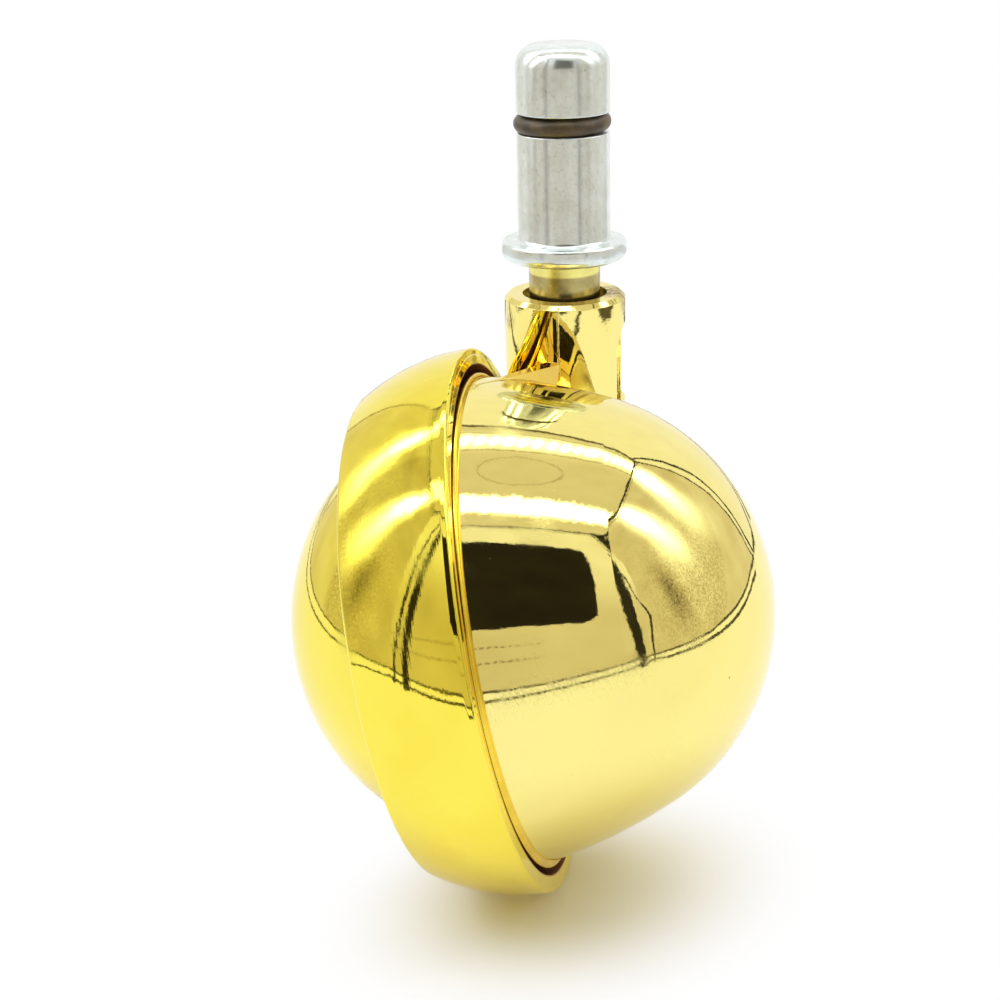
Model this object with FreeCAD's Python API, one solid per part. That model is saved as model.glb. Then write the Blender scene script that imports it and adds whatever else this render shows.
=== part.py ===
import FreeCAD, Part

import math
import os

# Ball castor with a plain grip stem, in millimetres.
# The origin is on the swivel axis at the collar's top face, where the stem enters the furniture.
# +Z runs up the stem, -Y points from the swivel axis to the ball, and the housing is on the +X side.

# Stem, turned in one piece
HEAD_R = 5.3
SHANK_RELIEF = 0.08
SHANK_R = HEAD_R - SHANK_RELIEF
STEM_TOP_Z = 22.0
HEAD_DOME_R = 2.7
GRIP_GROOVE_Z = 13.2
GRIP_GROOVE_W = 2.2
GRIP_GROOVE_DEPTH = 1.8
GRIP_GROOVE_R = HEAD_R - GRIP_GROOVE_DEPTH
COLLAR_FLANGE = 1.85
COLLAR_R = HEAD_R + COLLAR_FLANGE
COLLAR_T = 2.2
COLLAR_TOP_ROUND = 0.3
COLLAR_FOOT_ROUND = 1.1
SHANK_ROOT_ROUND = 0.4
PINTLE_R = 4.1
PINTLE_ROOT_ROUND = 0.6
PINTLE_END_Z = -20.0
PINTLE_END_CHAMFER = 0.5
SNAP_GROOVE_DEPTH = 0.7
PINTLE_GROOVE_R = PINTLE_R - SNAP_GROOVE_DEPTH

# Rubber grip ring of round section, drawn as it sits squeezed in a fitted socket
GRIP_RING_STAND = 0.2
GRIP_SECTION_R = (GRIP_GROOVE_DEPTH + GRIP_RING_STAND) / 2
GRIP_RING_MIDDLE_R = GRIP_GROOVE_R + GRIP_SECTION_R

# Clearances
RUNNING = 0.05
END_PLAY = 0.1
WHEEL_GAP = 0.5

# Snap rings, bent from round wire with a gap between their ends
SNAP_WIRE_R = 0.6
SNAP_OPENING_DEG = 50.0

# Neck and its bearing
NECK_WALL = 2.1
NECK_TOP_Z = -6.3
NECK_BEVEL = 0.5
NECK_BUSH_WALL = 0.8
NECK_BORE_R = PINTLE_R + NECK_BUSH_WALL
NECK_R = NECK_BORE_R + NECK_WALL
BUSH_TOP_DEPTH = 2.0
BUSH_LENGTH = 8.0
SNAP_POCKET_L = 2.6
THRUST_BALL_R = 2.0
POCKET_FLOOR_T = 3.0
RECESS_WIDTH = 6.1
RECESS_DEPTH = 1.0
RECESS_FLOOR_X = NECK_R - RECESS_DEPTH
RECESS_TOP_DEPTH = 3.4
RECESS_FOOT_Z = -19.0

# Ball: its tread, which the other sizes of both castings come from, and the lean of the wheel axis
TREAD_R = 31.0
NECK_INSET = 10.0
TREAD_TOP_DEPTH = 6.65
AXLE_LEAN_DEG = 11.0
TRAIL = TREAD_R - NECK_INSET
BALL_Z = -TREAD_TOP_DEPTH - TREAD_R

# Distances along the axle are measured from the open mouth plane, where wheel and housing meet
MOUTH_TO_CENTRE = 3.4

# Tread ring
TREAD_WIDTH = 12.5
TREAD_TAPER = 3.25
TREAD_CROWN_R = 22.0
LIP_WALL = 2.2
LIP_DROP = 0.4
LIP_ROUND = 0.3
TREAD_EDGE_ROUND = 0.7
TREAD_FLANGE_T = 1.4
TREAD_SEAT_DEPTH = 5.5
TREAD_SEAT_R = TREAD_R - TREAD_SEAT_DEPTH
TREAD_SEAT_W = 6.0

# Wheel core
CAP_SHOULDER = 0.4
CAP_R = TREAD_SEAT_R - CAP_SHOULDER
CAP_CENTRE = -0.3
CAP_WALL = 2.2
CAP_GAP = 0.15
HUB_R = 9.0
HUB_FACE = 0.5
WHEEL_RIBS = 6
RIB_T = 1.8
WHEEL_RIB_FACE = -6.5

# Wheel bush, washer and axle
AXLE_R = 4.0
BUSH_WALL = 2.0
BUSH_R = AXLE_R + BUSH_WALL
BUSH_FLANGE_W = 2.0
BUSH_FLANGE_R = BUSH_R + BUSH_FLANGE_W
BUSH_FLANGE_T = 1.2
WHEEL_BUSH_L = 14.0
HUB_POCKET_L = 3.5
WASHER_T = 1.2
WASHER_INSET = 0.5
WASHER_R = BUSH_FLANGE_R - WASHER_INSET
AXLE_IN_BOSS = 17.0
AXLE_CHAMFER = 0.5
AXLE_GROOVE_R = AXLE_R - SNAP_GROOVE_DEPTH

# Housing dome
MOUTH_GAP = 1.4
RIM_FLARE = 2.4
RIM_R = math.sqrt((TREAD_R - LIP_WALL) ** 2 - MOUTH_TO_CENTRE ** 2) - MOUTH_GAP
DOME_R = RIM_R - RIM_FLARE
DOME_CENTRE = 3.6
BARREL_R = DOME_R * 2.5
DOME_WALL = 2.2
RIM_ROUND = 0.3
BOSS_R = WASHER_R
DOME_RIBS = 4
DOME_RIB_FACE = 8.0
DOME_RIB_TURN_DEG = 45.0

# Web: a ridge from the top of the rim to the neck, with a flat flank that falls to the dome
WEB_TIP_IN_X = 0.73
WEB_TIP_IN_Y = 0.2
WEB_TIP_RISE = 0.1
WEB_END_X = 0.1
WEB_END_DEPTH = 6.5
WEB_TOP_W = 0.9
WEB_FLANK_DEG = 36.0

# Cutting blocks reach this far past the part
PAST = 2 * TREAD_R

ORIGIN = FreeCAD.Vector(0, 0, 0)
UP = FreeCAD.Vector(0, 0, 1)
LEAN = math.radians(AXLE_LEAN_DEG)
AXLE_DIR = FreeCAD.Vector(math.cos(LEAN), 0, math.sin(LEAN))
BALL_CENTRE = FreeCAD.Vector(0, -TRAIL, BALL_Z)
MOUTH_UP = FreeCAD.Vector(-math.sin(LEAN), 0, math.cos(LEAN))
MOUTH_CENTRE = BALL_CENTRE - AXLE_DIR * MOUTH_TO_CENTRE
RIM_TOP = MOUTH_CENTRE + MOUTH_UP * RIM_R
RIDGE_TIP = RIM_TOP + FreeCAD.Vector(WEB_TIP_IN_X, WEB_TIP_IN_Y, WEB_TIP_RISE)
RIDGE_END = FreeCAD.Vector(WEB_END_X, -NECK_R - WEB_TOP_W, NECK_TOP_Z - WEB_END_DEPTH)

WIRE_BITE = SNAP_WIRE_R + RUNNING
NECK_BUSH_TOP_Z = NECK_TOP_Z - BUSH_TOP_DEPTH
NECK_BUSH_FOOT_Z = NECK_BUSH_TOP_Z - BUSH_LENGTH
STEM_SNAP_Z = NECK_BUSH_FOOT_Z - END_PLAY - SNAP_WIRE_R
SNAP_POCKET_FOOT_Z = NECK_BUSH_FOOT_Z - SNAP_POCKET_L
THRUST_BALL_Z = PINTLE_END_Z - RUNNING - THRUST_BALL_R
NECK_FOOT_Z = THRUST_BALL_Z - THRUST_BALL_R - POCKET_FLOOR_T
BUSH_FACE = HUB_FACE + BUSH_FLANGE_T
BOSS_FACE = BUSH_FACE + END_PLAY + WASHER_T
WHEEL_BUSH_END = HUB_FACE - WHEEL_BUSH_L
AXLE_SNAP_AT = WHEEL_BUSH_END - END_PLAY - SNAP_WIRE_R
AXLE_END = AXLE_SNAP_AT - 2 * WIRE_BITE
HUB_POCKET_END = WHEEL_BUSH_END - HUB_POCKET_L
SEAT_START = -TREAD_WIDTH + TREAD_FLANGE_T


def ball_radius(sphere_r, centre, at):
    """Radius of a sphere's section at a distance along the axis from the mouth plane."""
    return math.sqrt(sphere_r ** 2 - (at - centre) ** 2)


class Outline:
    """Half section of a turned piece: points are (radius, place along the axis)."""

    def __init__(self, r, z):
        self.first = FreeCAD.Vector(r, 0, z)
        self.last = self.first
        self.edges = []

    def line(self, r, z):
        point = FreeCAD.Vector(r, 0, z)
        self.edges.append(Part.LineSegment(self.last, point).toShape())
        self.last = point
        return self

    def arc(self, r, z, centre_r, centre_z):
        """Short circular arc to a point, about a centre that both ends share."""
        point = FreeCAD.Vector(r, 0, z)
        centre = FreeCAD.Vector(centre_r, 0, centre_z)
        half = (self.last - centre) + (point - centre)
        half.normalize()
        middle = centre + half * (self.last - centre).Length
        self.edges.append(Part.Arc(self.last, middle, point).toShape())
        self.last = point
        return self

    def bow(self, r, z, radius):
        """Shallow arc of a given radius to a point, swelling away from the axis."""
        point = FreeCAD.Vector(r, 0, z)
        chord = point - self.last
        rise = radius - math.sqrt(radius ** 2 - (chord.Length / 2) ** 2)
        outward = FreeCAD.Vector(abs(chord.z), 0, -chord.x * math.copysign(1, chord.z))
        outward.normalize()
        middle = (self.last + point) / 2 + outward * rise
        self.edges.append(Part.Arc(self.last, middle, point).toShape())
        self.last = point
        return self

    def turned(self):
        """Solid made by turning the closed section a full turn about Z."""
        self.line(self.first.x, self.first.z)
        face = Part.Face(Part.Wire(self.edges))
        return face.revolve(ORIGIN, UP, 360)


def rod(r, low, high):
    """Plain cylinder about Z between two places."""
    return Part.makeCylinder(r, high - low, FreeCAD.Vector(0, 0, low))


def round_circles(solid, size, places):
    """Fillets the circular edges about Z at the given (radius, place) points."""
    picked = []
    for edge in solid.Edges:
        if edge.Degenerated or not isinstance(edge.Curve, Part.Circle):
            continue
        for r, z in places:
            if abs(edge.Curve.Radius - r) < RUNNING and abs(edge.Curve.Center.z - z) < RUNNING:
                picked.append(edge)
    return solid.makeFillet(size, picked)


def on_axle(shape):
    """Places a shape turned about Z onto the leaning wheel axis, with its zero at the mouth plane."""
    turn = FreeCAD.Rotation(FreeCAD.Vector(0, 1, 0), 90 - AXLE_LEAN_DEG)
    placed = shape.copy()
    placed.Placement = FreeCAD.Placement(MOUTH_CENTRE, turn)
    return placed


def snap_ring(groove_r, at):
    """Open ring of round wire that sits in a shaft's groove."""
    middle_r = groove_r + WIRE_BITE
    wire = Part.makeCircle(SNAP_WIRE_R, FreeCAD.Vector(middle_r, 0, at), FreeCAD.Vector(0, 1, 0))
    section = Part.Wire(wire)
    ring = Part.Face(section).revolve(ORIGIN, UP, 360 - SNAP_OPENING_DEG)
    ring.rotate(ORIGIN, UP, SNAP_OPENING_DEG / 2)
    return ring


def ribs(count, thickness, inner_r, low, high, turn_deg=0.0):
    """Flat radial walls about Z, starting inside a hub and running past the shell they will be trimmed to."""
    walls = []
    for index in range(count):
        wall = Part.makeBox(PAST, thickness, high - low, FreeCAD.Vector(inner_r, -thickness / 2, low))
        wall.rotate(ORIGIN, UP, turn_deg + index * 360 / count)
        walls.append(wall)
    return walls


def make_stem():
    """Grip head, groove, shank, collar and pintle, turned from one bar."""
    groove_top = GRIP_GROOVE_Z + GRIP_GROOVE_W / 2
    groove_foot = GRIP_GROOVE_Z - GRIP_GROOVE_W / 2
    snap_top = STEM_SNAP_Z + WIRE_BITE
    snap_foot = STEM_SNAP_Z - WIRE_BITE
    section = Outline(0, STEM_TOP_Z)
    section.line(HEAD_R - HEAD_DOME_R, STEM_TOP_Z)
    section.arc(HEAD_R, STEM_TOP_Z - HEAD_DOME_R, HEAD_R - HEAD_DOME_R, STEM_TOP_Z - HEAD_DOME_R)
    section.line(HEAD_R, groove_top)
    section.line(GRIP_GROOVE_R, groove_top)
    section.line(GRIP_GROOVE_R, groove_foot)
    section.line(SHANK_R, groove_foot)
    section.line(SHANK_R, 0)
    section.line(COLLAR_R, 0)
    section.line(COLLAR_R, -COLLAR_T)
    section.line(PINTLE_R, -COLLAR_T)
    section.line(PINTLE_R, snap_top)
    section.line(PINTLE_GROOVE_R, snap_top)
    section.line(PINTLE_GROOVE_R, snap_foot)
    section.line(PINTLE_R, snap_foot)
    section.line(PINTLE_R, PINTLE_END_Z + PINTLE_END_CHAMFER)
    section.line(PINTLE_R - PINTLE_END_CHAMFER, PINTLE_END_Z)
    section.line(0, PINTLE_END_Z)
    stem = section.turned()
    stem = round_circles(stem, SHANK_ROOT_ROUND, [(SHANK_R, 0)])
    stem = round_circles(stem, PINTLE_ROOT_ROUND, [(PINTLE_R, -COLLAR_T)])
    stem = round_circles(stem, COLLAR_TOP_ROUND, [(COLLAR_R, 0)])
    return round_circles(stem, COLLAR_FOOT_ROUND, [(COLLAR_R, -COLLAR_T)])


def make_grip_ring():
    """Rubber ring of round section that rests on the floor of the stem's groove."""
    return Part.makeTorus(GRIP_RING_MIDDLE_R, GRIP_SECTION_R, FreeCAD.Vector(0, 0, GRIP_GROOVE_Z))


def make_neck_bush():
    """Plain plastic sleeve pressed into the neck, which the pintle turns in."""
    sleeve = rod(NECK_BORE_R, NECK_BUSH_FOOT_Z, NECK_BUSH_TOP_Z)
    return sleeve.cut(rod(PINTLE_R + RUNNING, NECK_BUSH_FOOT_Z, NECK_BUSH_TOP_Z))


def make_thrust_ball():
    """Hardened ball under the pintle, which carries the furniture's weight."""
    return Part.makeSphere(THRUST_BALL_R, FreeCAD.Vector(0, 0, THRUST_BALL_Z))


def dome_form(rim_r, sphere_r, barrel_r):
    """Turned form of the housing: a slightly barrelled side that runs tangent into a sphere."""
    reach = math.hypot(rim_r, DOME_CENTRE)
    between = barrel_r - sphere_r
    along = (between ** 2 - barrel_r ** 2 + reach ** 2) / (2 * reach)
    aside = math.sqrt(between ** 2 - along ** 2)
    centre_r = (along * rim_r - aside * DOME_CENTRE) / reach
    centre_at = DOME_CENTRE - (along * DOME_CENTRE + aside * rim_r) / reach
    tangent_r = -centre_r * sphere_r / between
    tangent_at = DOME_CENTRE + (DOME_CENTRE - centre_at) * sphere_r / between
    section = Outline(0, 0)
    section.line(rim_r, 0)
    section.bow(tangent_r, tangent_at, barrel_r)
    section.arc(0, DOME_CENTRE + sphere_r, 0, DOME_CENTRE)
    return section.turned()


def make_dome():
    """Housing shell with its rolled rim, axle boss and ribs, still without the neck."""
    shell = round_circles(dome_form(RIM_R, DOME_R, BARREL_R), RIM_ROUND, [(RIM_R, 0)])
    hollow = dome_form(RIM_R - DOME_WALL, DOME_R - DOME_WALL, BARREL_R - DOME_WALL)
    pole = DOME_CENTRE + DOME_R
    boss = rod(BOSS_R, BOSS_FACE, pole).common(shell)
    dome = shell.cut(hollow).fuse(boss)
    inner_r = (AXLE_R + BOSS_R) / 2
    for rib in ribs(DOME_RIBS, RIB_T, inner_r, DOME_RIB_FACE, pole, DOME_RIB_TURN_DEG):
        dome = dome.fuse(rib.common(hollow))
    return on_axle(dome), on_axle(hollow)


def neck_form():
    """Neck with a bevelled mouth and a rounded foot, before the wheel's side is trimmed."""
    foot_r = NECK_R
    section = Outline(0, NECK_TOP_Z)
    section.line(NECK_R - NECK_BEVEL, NECK_TOP_Z)
    section.line(NECK_R, NECK_TOP_Z - NECK_BEVEL)
    section.line(NECK_R, NECK_FOOT_Z + foot_r)
    section.arc(0, NECK_FOOT_Z, 0, NECK_FOOT_Z + foot_r)
    return section.turned()


def neck_bore():
    """Stepped bore for the bush, the snap ring, the pintle's end and the thrust ball."""
    bore = rod(NECK_BORE_R, SNAP_POCKET_FOOT_Z, NECK_TOP_Z + PAST)
    guide = rod(PINTLE_R + END_PLAY, THRUST_BALL_Z, SNAP_POCKET_FOOT_Z)
    cup = Part.makeSphere(THRUST_BALL_R + RUNNING, FreeCAD.Vector(0, 0, THRUST_BALL_Z))
    seat = Part.makeCone(THRUST_BALL_R + RUNNING, PINTLE_R + END_PLAY, THRUST_BALL_R,
                         FreeCAD.Vector(0, 0, THRUST_BALL_Z))
    guide = guide.cut(rod(PINTLE_R + PAST, THRUST_BALL_Z - PAST, THRUST_BALL_Z + THRUST_BALL_R))
    return bore.fuse([guide, cup, seat])


def neck_recess():
    """Flat-floored recess with an arched top on the neck's +X side."""
    half = RECESS_WIDTH / 2
    arch_z = NECK_TOP_Z - RECESS_TOP_DEPTH - half
    block = Part.makeBox(NECK_R, RECESS_WIDTH, arch_z - RECESS_FOOT_Z,
                         FreeCAD.Vector(RECESS_FLOOR_X, -half, RECESS_FOOT_Z))
    arch = Part.makeCylinder(half, NECK_R, FreeCAD.Vector(RECESS_FLOOR_X, 0, arch_z), FreeCAD.Vector(1, 0, 0))
    return block.fuse(arch)


def side_of(point, normal):
    """Large block on the normal's side of a plane."""
    block = Part.makeBox(2 * PAST, 2 * PAST, PAST, FreeCAD.Vector(-PAST, -PAST, 0))
    block.Placement = FreeCAD.Placement(point, FreeCAD.Rotation(UP, normal))
    return block


def make_web():
    """Web from the neck to the top of the rim: narrow top along the ridge, and a flank toward the dome."""
    back_y = -NECK_R / 2
    floor_z = RIDGE_END.z - NECK_R
    corners = [(RIDGE_TIP.x, RIDGE_TIP.y), (WEB_END_X - RUNNING, back_y), (WEB_END_X, back_y),
               (WEB_END_X, RIDGE_TIP.y), (RIDGE_TIP.x, RIDGE_TIP.y)]
    outline = Part.makePolygon([FreeCAD.Vector(x, y, floor_z) for x, y in corners])
    web = Part.Face(outline).extrude(FreeCAD.Vector(0, 0, 2 * NECK_R))
    ridge = RIDGE_END - RIDGE_TIP
    level = ridge.cross(UP)
    fall = math.radians(WEB_FLANK_DEG)
    down_flank = FreeCAD.Vector(0, -math.cos(fall), -math.sin(fall))
    web = web.cut(side_of(RIDGE_TIP, level.cross(ridge)))
    return web.cut(side_of(RIDGE_TIP, ridge.cross(down_flank) * -1))


def wheel_side(gap):
    """Everything on the wheel's side of the mouth plane, with a gap past it."""
    block = Part.makeBox(2 * PAST, 2 * PAST, 2 * PAST, FreeCAD.Vector(-PAST, -PAST, gap - 2 * PAST))
    return on_axle(block)


def make_housing():
    """One casting: dome, rim, neck, web and the boss that holds the axle."""
    dome, hollow = make_dome()
    web = make_web().cut(hollow).cut(wheel_side(WHEEL_GAP))
    neck = neck_form().cut(wheel_side(WHEEL_GAP)).cut(neck_recess())
    housing = dome.fuse([neck, web]).cut(neck_bore())
    housing = housing.cut(on_axle(rod(AXLE_R, 0, BOSS_FACE + AXLE_IN_BOSS)))
    return housing.removeSplitter()


def make_axle():
    """Steel pin pressed into the housing's boss, with a groove for its snap ring."""
    groove_low = AXLE_SNAP_AT - WIRE_BITE
    groove_high = AXLE_SNAP_AT + WIRE_BITE
    end = BOSS_FACE + AXLE_IN_BOSS
    section = Outline(0, AXLE_END)
    section.line(AXLE_R - AXLE_CHAMFER, AXLE_END)
    section.line(AXLE_R, AXLE_END + AXLE_CHAMFER)
    section.line(AXLE_R, groove_low)
    section.line(AXLE_GROOVE_R, groove_low)
    section.line(AXLE_GROOVE_R, groove_high)
    section.line(AXLE_R, groove_high)
    section.line(AXLE_R, end - AXLE_CHAMFER)
    section.line(AXLE_R - AXLE_CHAMFER, end)
    section.line(0, end)
    return on_axle(section.turned())


def make_washer():
    """Thrust washer between the housing's boss and the wheel's bush."""
    low = BOSS_FACE - WASHER_T
    return on_axle(rod(WASHER_R, low, BOSS_FACE).cut(rod(AXLE_R + RUNNING, low, BOSS_FACE)))


def make_wheel_bush():
    """Flanged plastic sleeve pressed into the wheel's hub."""
    sleeve = rod(BUSH_R, WHEEL_BUSH_END, HUB_FACE).fuse(rod(BUSH_FLANGE_R, HUB_FACE, BUSH_FACE))
    return on_axle(sleeve.cut(rod(AXLE_R + RUNNING, WHEEL_BUSH_END, BUSH_FACE)).removeSplitter())


def make_wheel_core():
    """Cast core of the wheel: polished cap, seat for the tread ring, hub and ribs."""
    seat_end = SEAT_START + TREAD_SEAT_W
    inner_r = CAP_R - CAP_WALL
    section = Outline(0, CAP_CENTRE - CAP_R)
    section.arc(ball_radius(CAP_R, CAP_CENTRE, SEAT_START), SEAT_START, 0, CAP_CENTRE)
    section.line(TREAD_SEAT_R, SEAT_START)
    section.line(TREAD_SEAT_R, seat_end)
    section.line(0, seat_end)
    bowl = section.turned()
    cap_ball = Part.makeSphere(CAP_R, FreeCAD.Vector(0, 0, CAP_CENTRE))
    hollow = Part.makeSphere(inner_r, FreeCAD.Vector(0, 0, CAP_CENTRE))
    hub = rod(HUB_R, CAP_CENTRE - CAP_R, HUB_FACE).common(cap_ball)
    core = bowl.cut(hollow).fuse(hub)
    rib_foot = CAP_CENTRE - inner_r
    for rib in ribs(WHEEL_RIBS, RIB_T, (BUSH_R + HUB_R) / 2, rib_foot, WHEEL_RIB_FACE):
        core = core.fuse(rib.common(hollow))
    core = core.cut(rod(BUSH_R, HUB_POCKET_END, HUB_FACE))
    return on_axle(core.removeSplitter())


def make_tread_ring():
    """Rolling band: crowned outside, an open lip at the mouth and a flange over the core's shoulder."""
    seat_end = SEAT_START + TREAD_SEAT_W
    inner_sphere_r = TREAD_R - LIP_WALL
    flange_r = ball_radius(CAP_R, CAP_CENTRE, SEAT_START) + CAP_GAP
    mouth_r = ball_radius(TREAD_R, MOUTH_TO_CENTRE, 0) - LIP_DROP
    edge_r = mouth_r - TREAD_TAPER
    section = Outline(ball_radius(inner_sphere_r, MOUTH_TO_CENTRE, 0), 0)
    section.line(mouth_r, 0)
    section.bow(edge_r, -TREAD_WIDTH, TREAD_CROWN_R)
    section.line(flange_r, -TREAD_WIDTH)
    section.line(flange_r, SEAT_START)
    section.line(TREAD_SEAT_R, SEAT_START)
    section.line(TREAD_SEAT_R, seat_end)
    inner_r = ball_radius(inner_sphere_r, MOUTH_TO_CENTRE, seat_end)
    section.line(inner_r, seat_end)
    section.arc(ball_radius(inner_sphere_r, MOUTH_TO_CENTRE, 0), 0, 0, MOUTH_TO_CENTRE)
    ring = Part.Face(Part.Wire(section.edges)).revolve(ORIGIN, UP, 360)
    ring = round_circles(ring, LIP_ROUND, [(mouth_r, 0)])
    return on_axle(round_circles(ring, TREAD_EDGE_ROUND, [(edge_r, -TREAD_WIDTH)]))


def main():
    pieces = {
        "stem": make_stem(),
        "grip_ring": make_grip_ring(),
        "stem_snap_ring": snap_ring(PINTLE_GROOVE_R, STEM_SNAP_Z),
        "neck_bush": make_neck_bush(),
        "thrust_ball": make_thrust_ball(),
        "housing": make_housing(),
        "axle": make_axle(),
        "thrust_washer": make_washer(),
        "axle_snap_ring": on_axle(snap_ring(AXLE_GROOVE_R, AXLE_SNAP_AT)),
        "wheel_bush": make_wheel_bush(),
        "wheel_core": make_wheel_core(),
        "tread_ring": make_tread_ring(),
    }
    os.makedirs("parts", exist_ok=True)
    for name, shape in pieces.items():
        shape.exportStep("parts/" + name + ".step")
        print(name, len(shape.Solids), "solid", round(shape.Volume), "mm3", "valid", shape.isValid())


main()
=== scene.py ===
# %% [markdown]
# # A ball castor, built around its construction model
#
# The castor is a steel stem that grips a furniture leg, and a gold ball made of two castings.
# The right half is the housing that swivels on the stem. The left half is the wheel, whose wide
# rolling band stands proud of the housing and turns on a slanted axle.
#
# This lesson adds the looks: polished surfaces, the wear on them, and the light tent that a
# mirror finish needs, because a polished casting shows nothing but what stands around it.

import math

import bmesh
import bpy
import numpy as np
from mathutils import Matrix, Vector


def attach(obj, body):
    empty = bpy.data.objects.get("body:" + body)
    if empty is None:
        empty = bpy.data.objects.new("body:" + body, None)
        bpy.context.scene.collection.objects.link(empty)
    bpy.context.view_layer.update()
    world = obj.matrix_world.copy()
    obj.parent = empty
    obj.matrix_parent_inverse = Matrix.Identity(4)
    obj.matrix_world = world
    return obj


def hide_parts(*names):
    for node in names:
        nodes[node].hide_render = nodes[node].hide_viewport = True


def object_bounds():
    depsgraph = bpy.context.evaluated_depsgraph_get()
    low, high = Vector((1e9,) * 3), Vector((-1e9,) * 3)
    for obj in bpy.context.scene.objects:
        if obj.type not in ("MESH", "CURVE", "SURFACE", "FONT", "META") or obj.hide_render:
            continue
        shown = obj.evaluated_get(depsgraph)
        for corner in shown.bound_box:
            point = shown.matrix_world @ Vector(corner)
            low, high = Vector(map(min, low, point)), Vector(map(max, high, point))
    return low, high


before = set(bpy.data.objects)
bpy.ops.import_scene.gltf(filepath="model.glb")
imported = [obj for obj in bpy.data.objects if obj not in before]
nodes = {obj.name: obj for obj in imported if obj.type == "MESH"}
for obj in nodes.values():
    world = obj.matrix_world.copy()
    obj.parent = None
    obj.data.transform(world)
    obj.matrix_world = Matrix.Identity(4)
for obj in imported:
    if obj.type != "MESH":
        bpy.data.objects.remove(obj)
cad_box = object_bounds()
print("nodes:", ", ".join(sorted(nodes)))

# %% [markdown]
# ## Places on the castor
# The origin is on the swivel axis, at the top face of the stem's collar. The ball hangs below it
# and to the front, and its axle leans 11 degrees. Places along the axle are measured from the
# wheel's open mouth, and are positive toward the housing. All sizes below are in millimetres and
# are multiplied by MM where Blender needs metres.

# %% Places and sizes
MM = 0.001
MICRON = 0.001 * MM
AXLE_LEAN = math.radians(11.0)
AXLE_DIR = np.array([math.cos(AXLE_LEAN), 0.0, math.sin(AXLE_LEAN)])
BALL_CENTRE = np.array([0.0, -21.0, -37.65])
MOUTH_SET_BACK = 3.4
MOUTH_CENTRE = BALL_CENTRE - MOUTH_SET_BACK * AXLE_DIR
FLOOR_Z = cad_box[0][2] / MM
print("mouth centre in mm:", MOUTH_CENTRE.round(2), "floor at", FLOOR_Z)

# %% [markdown]
# ## Camera
# The photograph looks down on the castor by about 20 degrees, a little from the right. The place
# and turn of the camera come from a fit of the model's edges to the photograph's. A lens and a
# place could also be found by eye, but a mirror finish shows each degree that is wrong.

# %% Camera
CAMERA_PLACE = np.array([21.42, -212.46, 46.62])
CAMERA_YAW, CAMERA_PITCH, CAMERA_ROLL = -0.1383, 0.3524, -0.0230
FILM_WIDTH, FOCAL_RATIO = 36.0, 1.882


def camera_turn(yaw, pitch, roll):
    """The camera's axes as the columns right, up and back of a turning matrix.

    It looks along ahead = (sin yaw cos pitch, cos yaw cos pitch, -sin pitch). Right and up are
    the level and the upright direction across that line, both turned by the roll.
    """
    ahead = np.array([math.sin(yaw) * math.cos(pitch),
                      math.cos(yaw) * math.cos(pitch),
                      -math.sin(pitch)])
    level = np.array([math.cos(yaw), -math.sin(yaw), 0.0])
    upright = np.cross(level, ahead)
    right = level * math.cos(roll) + upright * math.sin(roll)
    up = -level * math.sin(roll) + upright * math.cos(roll)
    return np.stack([right, up, -ahead], axis=1)


camera_data = bpy.data.cameras.new("camera")
camera_data.lens = FILM_WIDTH * FOCAL_RATIO
camera_data.sensor_width = FILM_WIDTH
camera_data.clip_start = 5.0 * MM
camera = bpy.data.objects.new("camera", camera_data)
bpy.context.collection.objects.link(camera)
placing = np.eye(4)
placing[:3, :3] = camera_turn(CAMERA_YAW, CAMERA_PITCH, CAMERA_ROLL)
placing[:3, 3] = CAMERA_PLACE * MM
camera.matrix_world = Matrix(placing.tolist())
bpy.context.scene.camera = camera
bpy.context.scene.view_settings.view_transform = "Standard"
print("camera lens in mm:", round(camera_data.lens, 2))

# %% [markdown]
# ## Writing a finish as a formula
# A finish is a small network of nodes. It could be joined up by hand in the editor, but a pattern
# is easier to read as the formula it is. So one class stands for one output of a node, and sums
# and products of such outputs add the Math nodes that they need.


# %% One output of a node
class Wire:
    """One output of a node. Sums and products of wires add the Math nodes they need."""

    def __init__(self, finish, socket):
        self.finish = finish
        self.socket = socket

    def maths(self, operation, *values):
        """The wire of one Math node: operation(first value, second value)."""
        return self.finish.node("Math", {"operation": operation}, dict(enumerate(values)))

    def __add__(self, other):
        return self.maths("ADD", self, other)

    __radd__ = __add__

    def __sub__(self, other):
        return self.maths("SUBTRACT", self, other)

    def __rsub__(self, other):
        return self.maths("SUBTRACT", other, self)

    def __mul__(self, other):
        return self.maths("MULTIPLY", self, other)

    __rmul__ = __mul__

    def __truediv__(self, other):
        return self.maths("DIVIDE", self, other)

    def __pow__(self, other):
        return self.maths("POWER", self, other)

    def __neg__(self):
        return self.maths("MULTIPLY", self, -1.0)

    def at_least(self, other):
        return self.maths("MAXIMUM", self, other)

    def size(self):
        return self.maths("ABSOLUTE", self)

    def fraction(self):
        return self.maths("FRACT", self)

    def exp(self):
        return self.maths("EXPONENT", self)

    def step(self, start, end):
        """0 below start, 1 above end, and a smooth rise between them."""
        settings = {"interpolation_type": "SMOOTHSTEP"}
        values = {"Value": self, "From Min": start, "From Max": end}
        return self.finish.node("MapRange", settings, values)


print("sums and products of wires ready")

# %% [markdown]
# A second class holds the material while it is written. It adds any node by its type, and has a
# short name for each kind of pattern that the finishes share.


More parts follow.
